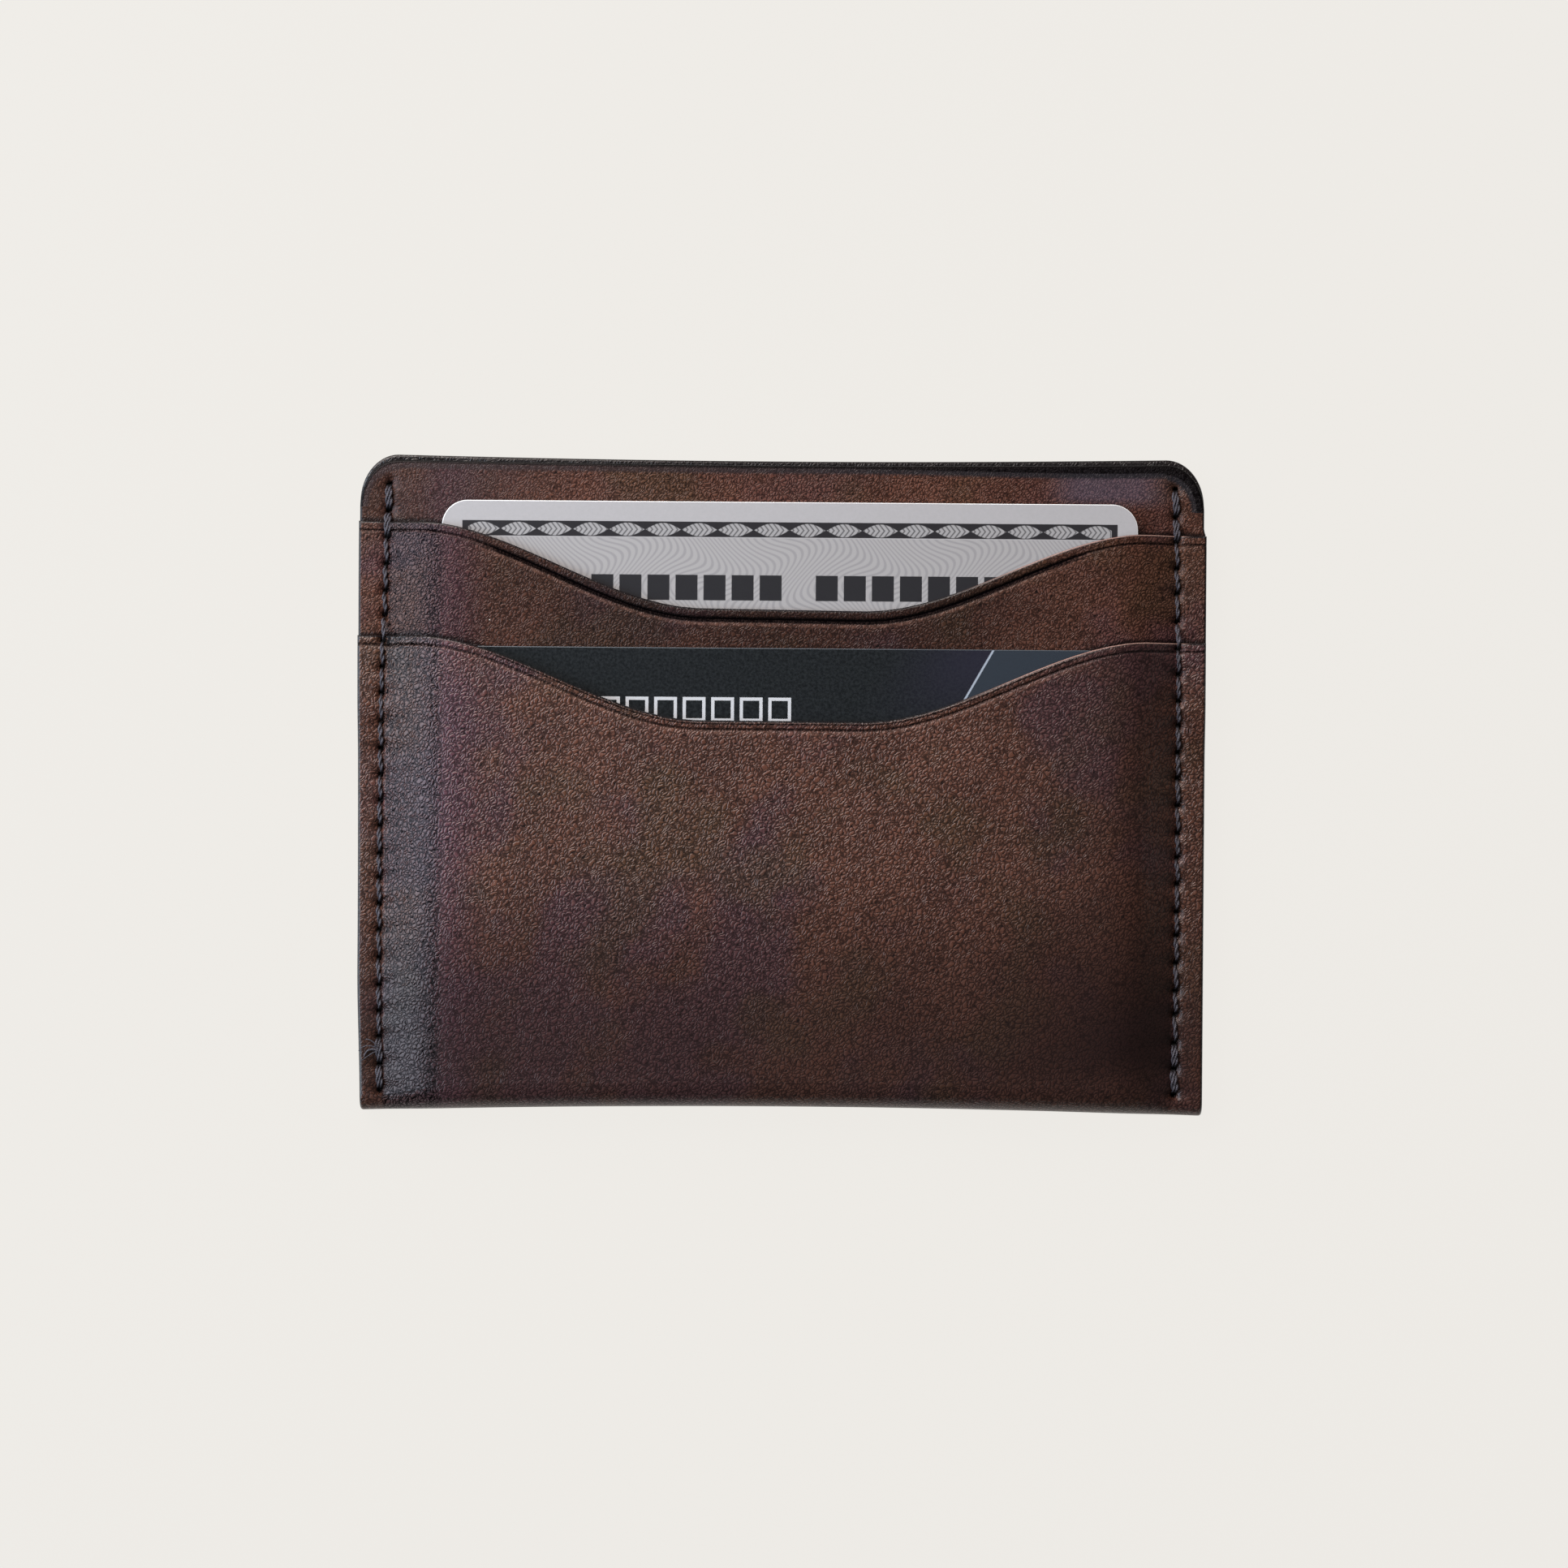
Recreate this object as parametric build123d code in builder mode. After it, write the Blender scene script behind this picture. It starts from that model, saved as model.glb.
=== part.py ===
from build123d import *
from math import atan2, cos, degrees, hypot, radians, sin
import os

# A slim leather card wallet with two cards, lying on its back. Millimetres.
# +X is to the right, +Y towards the pocket mouths, +Z up out of the front.
# The origin is the centre of the wallet's outline, on the back face that it rests on.

os.makedirs("parts", exist_ok=True)

# ---- Driving dimensions -------------------------------------------------------------------
# The wallet's outline
wallet_width = 104.2
wallet_height = 81.0
corner_radius = 4.5  # top corners only: the bottom corners are the ends of the fold
top_sag = 0.5  # the top edge is this much lower in the middle

# The leather
shell_thickness = 1.3
divider_thickness = 1.0
pocket_thickness = 0.9
fold_radius = 3.1  # outside of the bottom fold
back_lip = 0.7  # the back panel stands this far above the divider

# The pockets, as heights above the bottom of the wallet
upper_mouth = 72.1
lower_mouth = 58.4
mouth_dip = 10.1  # depth of the thumb dip in the middle of each mouth
dip_reach = 45.0  # half width of the dip where it leaves the level edge
dip_floor = 10.0  # half width of its flat bottom
bar_bottom = 48.0  # lower edge of the T-shaped pocket panel's bar
stem_half_width = 46.2
divider_bottom = 3.2
pocket_bottom = 16.8
pocket_floor = 20.8  # inside of the upper pocket's closed bottom
floor_ramp = 1.0  # run over which the pocket panel climbs over the card's edge

# The cards, standard ID-1 size
card_width = 85.6
card_height = 53.98
card_thickness = 0.76
card_corner = 3.18
card_gap = 0.15  # air on each face of a card
silver_card_bottom = 21.3
silver_card_offset = 0.8  # it stands a little right of the middle
dark_card_bottom = 3.3
chip_width = 13.0
chip_height = 11.8
chip_corner = 1.5
chip_from_left = 15.06
chip_from_top = 23.89
chip_depth = 0.25
stripe_height = 10.3
stripe_from_top = 5.5
stripe_depth = 0.08
card_lean = 0.025  # rise of the cards per mm of height, from fold to mouth

# The stitching
seam_inset = 3.2
stitch_pitch = 3.2
stitch_count = 23
first_hole = 3.0
thread_width = 0.75
thread_half_height = 0.3
leg_width = 0.6
hole_play = 0.06  # room around the thread in its hole and groove
stitch_stand = 0.05  # height of a front stitch's middle above the leather
back_sink = 0.02  # depth of the back stitches below the leather's face
floor_seam_stitches = 25

# The leather is pressed flat along the seams and rises over the cards between them.
ramp_start = 48.2
ramp_end = 40.0
ramp_slope = 0.66

# ---- Worked out from them -----------------------------------------------------------------
bottom = -wallet_height / 2
beyond = wallet_height  # any length that reaches past the wallet

# Levels at the seams, from the back: shell, divider, pocket panel, shell again
divider_low = shell_thickness
divider_high = divider_low + divider_thickness
pocket_high = divider_high + pocket_thickness
front_high = pocket_high + shell_thickness

# How far the pocket panel steps up over the silver card, at the pocket's floor
card_room = card_thickness + 2 * card_gap
lean_angle = degrees(atan2(card_lean, 1))


def side_area(outline):
    """A filled side view, from (y, z) corners."""
    with BuildSketch(Plane.YZ) as area:
        with BuildLine():
            Polyline(*outline, close=True)
        make_face()
    return area.sketch


def leaning_side(level, floor, step):
    """Side view of all below a surface: level, a step up at the floor, then leaning upwards."""
    crest = level + step + card_lean * (beyond - floor)
    return side_area(
        [
            (bottom, 0),
            (bottom, level),
            (bottom + floor - floor_ramp, level),
            (bottom + floor, level + step),
            (bottom + beyond, crest),
            (bottom + beyond, 0),
        ]
    )


def folded_side(inset):
    """Side view of all within the folded strip: its outside, or its inside when inset."""
    crest = 2 * fold_radius - inset
    far = bottom + beyond
    with BuildSketch(Plane.YZ) as area:
        with BuildLine():
            start = (bottom + fold_radius, inset)
            end = (bottom + fold_radius, crest)
            ThreePointArc(start, (bottom + inset, fold_radius), end)
            far_end = (far, crest + card_lean * (beyond - fold_radius))
            Polyline(end, far_end, (far, inset), start)
        make_face()
    return area.sketch


def raised_space(side_view, seam_level):
    """All below a leather surface that is held down to seam_level along both seams."""
    ramp_top = seam_level + ramp_slope * (ramp_start - ramp_end)
    edge = wallet_width
    with BuildPart() as space:
        extrude(side_view, amount=wallet_width, both=True)
        with BuildSketch(Plane.XZ):
            with BuildLine():
                Polyline(
                    (-edge, -1),
                    (-edge, seam_level),
                    (-ramp_start, seam_level),
                    (-ramp_end, ramp_top),
                    (ramp_end, ramp_top),
                    (ramp_start, seam_level),
                    (edge, seam_level),
                    (edge, -1),
                    close=True,
                )
            make_face()
        extrude(amount=beyond, both=True, mode=Mode.INTERSECT)
    return space.part


def panel_outline(low, high):
    """A panel seen from the front, with round top corners and a slightly sagging top edge."""
    half = wallet_width / 2
    top = bottom + high
    shoulder = top - corner_radius
    with BuildSketch() as outline:
        with BuildLine():
            left = (-half + corner_radius, top)
            right = (half - corner_radius, top)
            TangentArc((-half, shoulder), left, tangent=(0, 1))
            ThreePointArc(left, (0, top - top_sag), right)
            TangentArc((half, shoulder), right, tangent=(0, 1))
            Polyline((-half, shoulder), (-half, bottom + low), (half, bottom + low), (half, shoulder))
        make_face()
    return outline.sketch


def above_mouth(height):
    """All above a pocket's mouth, seen from the front: level sides and a wide thumb dip."""
    edge = wallet_width
    level = bottom + height
    low = level - mouth_dip
    third = (dip_reach - dip_floor) / 3
    outer = dip_reach - third
    inner = dip_floor + third
    with BuildSketch() as area:
        with BuildLine():
            Bezier((-dip_reach, level), (-outer, level), (-inner, low), (-dip_floor, low))
            Line((-dip_floor, low), (dip_floor, low))
            Bezier((dip_floor, low), (inner, low), (outer, level), (dip_reach, level))
            Polyline(
                (dip_reach, level),
                (edge, level),
                (edge, beyond),
                (-edge, beyond),
                (-edge, level),
                (-dip_reach, level),
            )
        make_face()
    return area.sketch


def stitch_view(plane, holes, tops, back, play=0.0):
    """A seam seen from the side: a leg through each hole, and stitches on both faces."""
    back_middle = back + back_sink + thread_half_height
    pairs = list(zip(holes, tops))
    with BuildSketch(plane) as view:
        for place, top in pairs:
            with Locations((place, (back_middle + top) / 2)):
                Rectangle(leg_width + 2 * play, top - back_middle)
        for (place, top), (next_place, next_top) in zip(pairs, pairs[1:]):
            run = next_place - place
            rise = next_top - top
            half_length = (hypot(run, rise) + leg_width) / 2 + play
            with Locations(((place + next_place) / 2, (top + next_top) / 2 + stitch_stand)):
                Ellipse(half_length, thread_half_height + play, rotation=degrees(atan2(rise, run)))
            with Locations(((place + next_place) / 2, back_middle)):
                Ellipse((run + leg_width) / 2 + play, thread_half_height + play)
    return view.sketch


def leather_level(height):
    """Height of the front leather surface along the side seams."""
    if height < lower_mouth:
        return front_high
    if height < upper_mouth:
        return pocket_high
    return divider_high


# The holes of both side seams, and the front surface at each
side_heights = [first_hole + stitch_pitch * i for i in range(stitch_count + 1)]
side_holes = [bottom + height for height in side_heights]
side_tops = [leather_level(height) for height in side_heights]
seam_x = wallet_width / 2 - seam_inset

# The holes of the hidden seam along the upper pocket's floor
floor_seam_y = bottom + (pocket_bottom + pocket_floor - floor_ramp) / 2
floor_holes = [stitch_pitch * (i - floor_seam_stitches / 2) for i in range(floor_seam_stitches + 1)]
floor_tops = [pocket_high for _ in floor_holes]

# What the awl takes out of the leather: the side seams' holes and the grooves of their stitches
with BuildPart() as side_holes_cut:
    for x in (-seam_x, seam_x):
        view = stitch_view(Plane.YZ.offset(x), side_holes, side_tops, 0, hole_play)
        extrude(view, amount=thread_width / 2 + hole_play, both=True)

# The same for the hidden seam. Plane.XZ faces -Y, so its offset is negative.
with BuildPart() as floor_holes_cut:
    view = stitch_view(Plane.XZ.offset(-floor_seam_y), floor_holes, floor_tops, divider_low, hole_play)
    extrude(view, amount=thread_width / 2 + hole_play, both=True)

# ---- The leather --------------------------------------------------------------------------
# Outer shell: one strip, folded at the bottom into the back panel and the lower front pocket
with BuildPart() as outer_shell:
    add(raised_space(folded_side(0), front_high))
    add(raised_space(folded_side(shell_thickness), pocket_high), mode=Mode.SUBTRACT)
    extrude(panel_outline(0, wallet_height), amount=beyond, mode=Mode.INTERSECT)
    with BuildSketch(Plane.XY.offset(divider_high)):
        add(above_mouth(lower_mouth))
    extrude(amount=beyond, mode=Mode.SUBTRACT)
    add(side_holes_cut.part, mode=Mode.SUBTRACT)

# Divider: flat on the back panel below, leaning away from it above to make the centre pocket
with BuildPart() as divider:
    add(raised_space(leaning_side(divider_high, pocket_floor, 0), divider_high))
    add(raised_space(leaning_side(divider_low, pocket_floor, 0), divider_low), mode=Mode.SUBTRACT)
    extrude(
        panel_outline(divider_bottom, wallet_height - back_lip), amount=beyond, mode=Mode.INTERSECT
    )
    add(side_holes_cut.part, mode=Mode.SUBTRACT)
    add(floor_holes_cut.part, mode=Mode.SUBTRACT)

# Upper pocket: a T-shaped panel. Its bar reaches both seams and its stem is stitched below.
with BuildPart() as upper_pocket:
    add(raised_space(leaning_side(pocket_high, pocket_floor, card_room), pocket_high))
    add(
        raised_space(leaning_side(divider_high, pocket_floor, card_room), divider_high),
        mode=Mode.SUBTRACT,
    )
    with BuildSketch():
        with Locations((0, bottom)):
            Rectangle(wallet_width, beyond, align=(Align.CENTER, Align.MIN))
        with Locations((0, bottom)):
            Rectangle(
                wallet_width, bar_bottom, align=(Align.CENTER, Align.MIN), mode=Mode.SUBTRACT
            )
        with Locations((0, bottom + pocket_bottom)):
            Rectangle(2 * stem_half_width, beyond, align=(Align.CENTER, Align.MIN))
        add(above_mouth(upper_mouth), mode=Mode.SUBTRACT)
    extrude(amount=beyond, mode=Mode.INTERSECT)
    add(side_holes_cut.part, mode=Mode.SUBTRACT)
    add(floor_holes_cut.part, mode=Mode.SUBTRACT)

# ---- The thread ---------------------------------------------------------------------------
# Side seams: one waxed thread each, passed through every hole from both faces
with BuildPart() as left_seam:
    view = stitch_view(Plane.YZ.offset(-seam_x), side_holes, side_tops, 0)
    extrude(view, amount=thread_width / 2, both=True)

with BuildPart() as right_seam:
    view = stitch_view(Plane.YZ.offset(seam_x), side_holes, side_tops, 0)
    extrude(view, amount=thread_width / 2, both=True)

# Pocket floor seam: the hidden row that holds the upper pocket's bottom to the divider
with BuildPart() as pocket_floor_seam:
    view = stitch_view(Plane.XZ.offset(-floor_seam_y), floor_holes, floor_tops, divider_low)
    extrude(view, amount=thread_width / 2, both=True)

# ---- The cards ----------------------------------------------------------------------------


def card_plane(card_bottom, centre_x, level):
    """The back face of a card whose pocket's surface is at this level at the pocket floor."""
    height = card_bottom + card_height / 2 * cos(radians(lean_angle))
    middle = level + card_gap + card_lean * (height - pocket_floor)
    lean = radians(lean_angle)
    return Plane(
        origin=(centre_x, bottom + height, middle), x_dir=(1, 0, 0), z_dir=(0, -sin(lean), cos(lean))
    )


def chip_outline():
    """The contact plate on a card's front, where cards of this kind have it."""
    with BuildSketch() as plate:
        with Locations((chip_from_left - card_width / 2, card_height / 2 - chip_from_top)):
            RectangleRounded(chip_width, chip_height, chip_corner)
    return plate.sketch


def stripe_outline():
    """The magnetic stripe across a card's back."""
    with BuildSketch() as band:
        with Locations((0, card_height / 2 - stripe_from_top - stripe_height / 2)):
            Rectangle(card_width, stripe_height)
    return band.sketch


# The silver card lies on the divider, the dark one on the upper pocket's panel.
silver_back = card_plane(silver_card_bottom, silver_card_offset, divider_high)
dark_back = card_plane(dark_card_bottom, 0, pocket_high + card_room)

# Silver card, with a seat for its chip in the front and for its stripe in the back
with BuildPart() as silver_card:
    with BuildSketch(silver_back):
        RectangleRounded(card_width, card_height, card_corner)
    extrude(amount=card_thickness)
    with BuildSketch(silver_back.offset(card_thickness)):
        add(chip_outline())
    extrude(amount=-chip_depth, mode=Mode.SUBTRACT)
    with BuildSketch(silver_back):
        add(stripe_outline())
    extrude(amount=stripe_depth, mode=Mode.SUBTRACT)

with BuildPart() as silver_card_chip:
    with BuildSketch(silver_back.offset(card_thickness)):
        add(chip_outline())
    extrude(amount=-chip_depth)

with BuildPart() as silver_card_stripe:
    with BuildSketch(silver_back):
        add(stripe_outline())
    extrude(amount=stripe_depth)

# Dark card, made the same way
with BuildPart() as dark_card:
    with BuildSketch(dark_back):
        RectangleRounded(card_width, card_height, card_corner)
    extrude(amount=card_thickness)
    with BuildSketch(dark_back.offset(card_thickness)):
        add(chip_outline())
    extrude(amount=-chip_depth, mode=Mode.SUBTRACT)
    with BuildSketch(dark_back):
        add(stripe_outline())
    extrude(amount=stripe_depth, mode=Mode.SUBTRACT)

with BuildPart() as dark_card_chip:
    with BuildSketch(dark_back.offset(card_thickness)):
        add(chip_outline())
    extrude(amount=-chip_depth)

with BuildPart() as dark_card_stripe:
    with BuildSketch(dark_back):
        add(stripe_outline())
    extrude(amount=stripe_depth)

# ---- Write every piece --------------------------------------------------------------------
pieces = {
    "outer_shell": outer_shell,
    "divider": divider,
    "upper_pocket": upper_pocket,
    "left_seam": left_seam,
    "right_seam": right_seam,
    "pocket_floor_seam": pocket_floor_seam,
    "silver_card": silver_card,
    "silver_card_chip": silver_card_chip,
    "silver_card_stripe": silver_card_stripe,
    "dark_card": dark_card,
    "dark_card_chip": dark_card_chip,
    "dark_card_stripe": dark_card_stripe,
}
for name, piece in pieces.items():
    piece.part.label = name
    export_step(piece.part, f"parts/{name}.step")
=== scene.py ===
import math
import random

import bpy
import numpy as np
from mathutils import Matrix, Vector, noise


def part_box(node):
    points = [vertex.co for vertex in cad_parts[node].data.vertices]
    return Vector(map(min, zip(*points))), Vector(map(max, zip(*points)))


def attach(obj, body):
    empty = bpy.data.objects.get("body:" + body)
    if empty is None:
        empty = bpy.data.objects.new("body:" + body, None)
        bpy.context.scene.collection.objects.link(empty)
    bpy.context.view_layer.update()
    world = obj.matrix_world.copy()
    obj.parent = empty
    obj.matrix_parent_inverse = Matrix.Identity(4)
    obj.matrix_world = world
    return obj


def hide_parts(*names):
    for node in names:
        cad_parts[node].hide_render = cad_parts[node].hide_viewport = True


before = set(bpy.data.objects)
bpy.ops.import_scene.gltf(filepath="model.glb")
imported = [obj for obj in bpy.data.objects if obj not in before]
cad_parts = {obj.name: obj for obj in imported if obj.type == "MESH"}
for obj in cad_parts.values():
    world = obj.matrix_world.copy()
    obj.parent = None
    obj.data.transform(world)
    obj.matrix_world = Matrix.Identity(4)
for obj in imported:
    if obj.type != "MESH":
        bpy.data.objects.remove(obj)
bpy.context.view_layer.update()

# ---- The table, the light and the camera --------------------------------------------------
# The wallet lies on its back on a plain pale table. The camera looks straight down at it, and
# soft boxes stand to its left and behind its top edge, so the right and the bottom fall away.
MM = 0.001
SHELL_LOW, SHELL_HIGH = (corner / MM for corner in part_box("outer_shell"))
FOLD_Y = SHELL_LOW.y  # heights in this script are counted up from the fold
WALLET_HEIGHT = SHELL_HIGH.y - SHELL_LOW.y
HALF_WIDTH = SHELL_HIGH.x

VIEW_WIDTH = 192.8  # what the camera takes in across, at the level of the wallet's front
FRONT_LEVEL = 4.4
LENS, SENSOR = 100.0, 36.0
CAMERA_AIM = (0.0003, 0.0001)  # metres right of and above the wallet's middle
CAMERA_TURN = math.radians(0.43)
camera_height = (VIEW_WIDTH * LENS / SENSOR + FRONT_LEVEL) * MM

bpy.ops.object.camera_add(location=(*CAMERA_AIM, camera_height), rotation=(0, 0, CAMERA_TURN))
camera = bpy.context.object
camera.name = "camera"
camera.data.lens = LENS
camera.data.sensor_width = SENSOR
camera.data.clip_start = 0.01
bpy.context.scene.camera = camera
bpy.context.scene.view_settings.view_transform = "Standard"


def shade(red, green, blue):
    """A colour as it looks on a screen, 0 to 255, turned into light."""
    def light(part):
        part /= 255
        return part / 12.92 if part <= 0.04045 else ((part + 0.055) / 1.055) ** 2.4
    return (light(red), light(green), light(blue), 1.0)


TABLE_SIZE, TABLE_DROP = 3, 0.05  # metres across, and millimetres below the wallet's back

bpy.ops.mesh.primitive_plane_add(size=TABLE_SIZE, location=(0, 0, -TABLE_DROP * MM))
table = bpy.context.object
table.name = "table"
table_finish = bpy.data.materials.new("table_top")
table_finish.use_nodes = True
table_look = {
    "Base Color": shade(40, 40, 39), "Roughness": 0.9, "Specular IOR Level": 0.0,
    "Emission Color": shade(238, 235, 230), "Emission Strength": 0.975,
}
for socket, value in table_look.items():
    table_finish.node_tree.nodes["Principled BSDF"].inputs[socket].default_value = value
table.data.materials.append(table_finish)


def soft_box(name, azimuth, elevation, distance, size, power, tint):
    """A square lamp that faces the wallet. Azimuth 0 is to the right, 90 beyond the top edge."""
    turn, rise = math.radians(azimuth), math.radians(elevation)
    level = math.cos(rise)
    place = Vector((math.cos(turn) * level, math.sin(turn) * level, math.sin(rise)))
    bpy.ops.object.light_add(type="AREA", location=place * distance)
    lamp = bpy.context.object
    lamp.name = name
    lamp.rotation_euler = place.to_track_quat("Z", "Y").to_euler()
    lamp.data.size = size
    lamp.data.energy = power
    lamp.data.color = tint


soft_box("left_box", 174, 31, 0.42, 0.4, 2.1, (0.76, 0.95, 1.14))
soft_box("top_box", 118, 40, 0.5, 0.3, 2.4, (1.06, 0.96, 0.9))

world = bpy.data.worlds.new("room")
world.use_nodes = True
walls = world.node_tree.nodes["Background"]
walls.inputs["Color"].default_value = (1.0, 0.96, 0.92, 1)
walls.inputs["Strength"].default_value = 0.11
bpy.context.scene.world = world


# ---- Outer shell --------------------------------------------------------------------------
# One strip of dark brown pull-up leather, folded at the bottom: it is the back panel and the
# lower pocket. The mouth has a thumb dip and a line creased along it, and the side seams pull
# the leather down beside the cards that fill the pocket.
SHELL_THICKNESS = 1.3
CORNER, CORNER_RISE = 4.7, 5.8  # a top corner's run along the top and down the side
TOP_SAG = 0.5
FOLD_LIFT = 0.85  # the fold is this much higher in the middle, where the cards fill it
CARD_REACH = 5.7  # from the seams in to where the cards' edges lift the leather
SIDE_ZONE = 10.0  # width of the finely divided strip along each side
FROM_SIDE = [0, 0.05, 0.14, 0.28, 0.45, 0.8, 1.3, 1.8, 2.2, 2.5, 2.75, 3.0, 3.25, 3.5, 3.8,
             4.2, 4.7, 5.3, 6.0, 6.8, 7.7, 8.8, SIDE_ZONE]
FROM_MOUTH = [0, 0.04, 0.12, 0.25, 0.4, 0.6, 0.8, 0.94, 1.04, 1.12, 1.2, 1.3, 1.45, 1.7, 2.0]
FINE_ROW, COARSE_ROW = 0.38, 0.44

FIRST_HOLE, LAST_HOLE, HOLES = 2.7, 77.2, 24
HOLE_WANDER = 0.22  # how far a hole strays from even spacing
# A seam bows: its least inset, how much that grows, the height where it is least, and over what run
LEFT_BOW, RIGHT_BOW = (2.65, 0.8, 28, 50), (3.3, 0.4, 35, 42)
THREAD_BED = 0.45  # half the width of the groove that a seam lies in

MOUTH_REACH, MOUTH_FLOOR, MOUTH_DIP = 45.0, 10.0, 10.1  # where a dip starts and is full, its depth
LOWER_MOUTH, LOWER_TILT = 58.4, -0.1
LOWER_CREASE = 1.12  # from the mouth down to the creased line

FOLD_MIDDLE = 3.2  # nominal height where the back runs into the fold
STACK_LOW, BAR_STEP = 3.75, 0.75  # the pressed stack beside the seams, and the bar's share


def ease(value, low, high):
    """0 below low, 1 above high and smooth between."""
    t = np.clip((value - low) / (high - low), 0, 1)
    return t * t * (3 - 2 * t)


def ripple(x, h, size, seed):
    """Soft hills and hollows about this size across, from -1 to 1."""
    return np.array([noise.noise((a, b, seed)) for a, b in zip(x / size, h / size)])


def seam_line(x, h):
    """How far from the middle each side's seam runs, at these heights."""
    def bowed(inset, growth, nearest, run):
        return HALF_WIDTH - inset - growth * ((h - nearest) / run) ** 2
    return np.where(x < 0, bowed(*LEFT_BOW), bowed(*RIGHT_BOW))


def hole_heights(seed):
    """The awl's holes up one seam, a little unevenly spaced."""
    draw = random.Random(seed)
    even = np.linspace(FIRST_HOLE, LAST_HOLE, HOLES)
    return np.array([height + draw.uniform(-HOLE_WANDER, HOLE_WANDER) for height in even])


LEFT_HOLES, RIGHT_HOLES = hole_heights(4), hole_heights(9)


def hole_gap(x, h):
    """Distance along the seam to the nearest hole."""
    left = np.abs(h[:, None] - LEFT_HOLES).min(axis=1)
    right = np.abs(h[:, None] - RIGHT_HOLES).min(axis=1)
    return np.where(x < 0, left, right)


def swell(x, h, reach):
    """0 along the seam, rising evenly to 1 this far inside it, where a card's edge holds it up."""
    inside = seam_line(x, h) - THREAD_BED - np.abs(x)
    # The leather lifts later at the holes than between them
    half_stitch = 1.6
    pucker = 0.3 * np.cos(np.clip(hole_gap(x, h), 0, half_stitch) * math.pi / half_stitch)
    inside = inside - pucker * np.exp(-np.maximum(inside, 0) / 1.4)
    softened = (inside + np.sqrt(inside ** 2 + 0.5 ** 2)) / 2
    share = softened / reach
    over_card_edge = np.clip(1 - np.abs(share - 1) / 0.4, 0, 1)
    return np.minimum(share, 1) - 0.1 * over_card_edge ** 2


def hole_shade(x, h):
    """1 in the middle of each of the awl's holes, falling to 0 around it."""
    size = 0.42
    return np.exp(-((np.abs(x) - seam_line(x, h)) / size) ** 2 - (hole_gap(x, h) / size) ** 2)


def stitch_pull(x, h, bed, hole):
    """How deep the thread pulls the leather down along the seam and at its holes."""
    across = np.abs(x) - seam_line(x, h)
    along = hole_gap(x, h)
    started = ease(h, FIRST_HOLE - 1.2, FIRST_HOLE - 0.4)
    ended = ease(h, LAST_HOLE + 0.3, LAST_HOLE + 1.2)
    depth = bed * np.exp(-(across / 0.55) ** 2)
    depth += hole * np.exp(-(across / 0.42) ** 2 - (along / 0.5) ** 2)
    depth += 0.16 * np.exp(-(across / 1.4) ** 2 - (along / 1.0) ** 2)  # the dent round a hole
    return depth * started * (1 - ended)


def mouth_height(x, level, tilt):
    """The top edge of a pocket: level at the sides, with a wide thumb dip in the middle."""
    inward = ease(-np.abs(x), -MOUTH_REACH, -MOUTH_FLOOR)
    return level + tilt * x / MOUTH_REACH - MOUTH_DIP * inward


def mouth_steepness(x):
    """Slope of the mouth's curve."""
    t = np.clip((MOUTH_REACH - np.abs(x)) / (MOUTH_REACH - MOUTH_FLOOR), 0, 1)
    return MOUTH_DIP / (MOUTH_REACH - MOUTH_FLOOR) * 6 * t * (1 - t)


def column_places():
    """Nominal places across a panel: close together along both sides."""
    middle = HALF_WIDTH - SIDE_ZONE
    side = [HALF_WIDTH - c for c in FROM_SIDE]
    inner = np.linspace(-middle, middle, 41)[1:-1]
    return np.array([-x for x in side] + list(inner) + side[::-1])


def fit_width(nominal, left, right):
    """Nominal places moved to a panel whose edges are this far to the left and right."""
    half = np.where(nominal < 0, left, right)
    away = np.abs(nominal)
    near_side = half - (HALF_WIDTH - away)
    middle = away * (half - SIDE_ZONE) / (HALF_WIDTH - SIDE_ZONE)
    return np.sign(nominal) * np.where(away > HALF_WIDTH - SIDE_ZONE, near_side, middle)


def corner_in(h, top):
    """How far the rounded top corners draw a panel's sides in."""
    up = np.clip((h - top) / CORNER_RISE + 1, 0, 1)
    return CORNER - CORNER * np.sqrt(1 - up ** 2)


def outline_gap(x, h, top, left, right):
    """Distance inwards from a tall panel's whole outline, and from its top edge and corners."""
    half = np.where(x < 0, left, right)
    side = half - np.abs(x)
    above = top - h
    level = above * CORNER / CORNER_RISE
    in_corner = (side < CORNER) & (level < CORNER)
    radial = CORNER - np.hypot(np.maximum(CORNER - side, 0), np.maximum(CORNER - level, 0))
    return np.where(in_corner, radial, np.minimum(side, above)), np.where(in_corner, radial, above)


def corner_rows():
    """Distances below a tall panel's top edge, so that its round corners come out round."""
    return [CORNER_RISE * (1 - math.sin(math.radians(a))) for a in range(90, 0, -6)]


def round_over(gap, radius):
    """How far an edge rounded to this radius falls below the surface."""
    inward = np.clip(radius - gap, 0, radius)
    return radius - np.sqrt(radius ** 2 - inward ** 2)


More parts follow.
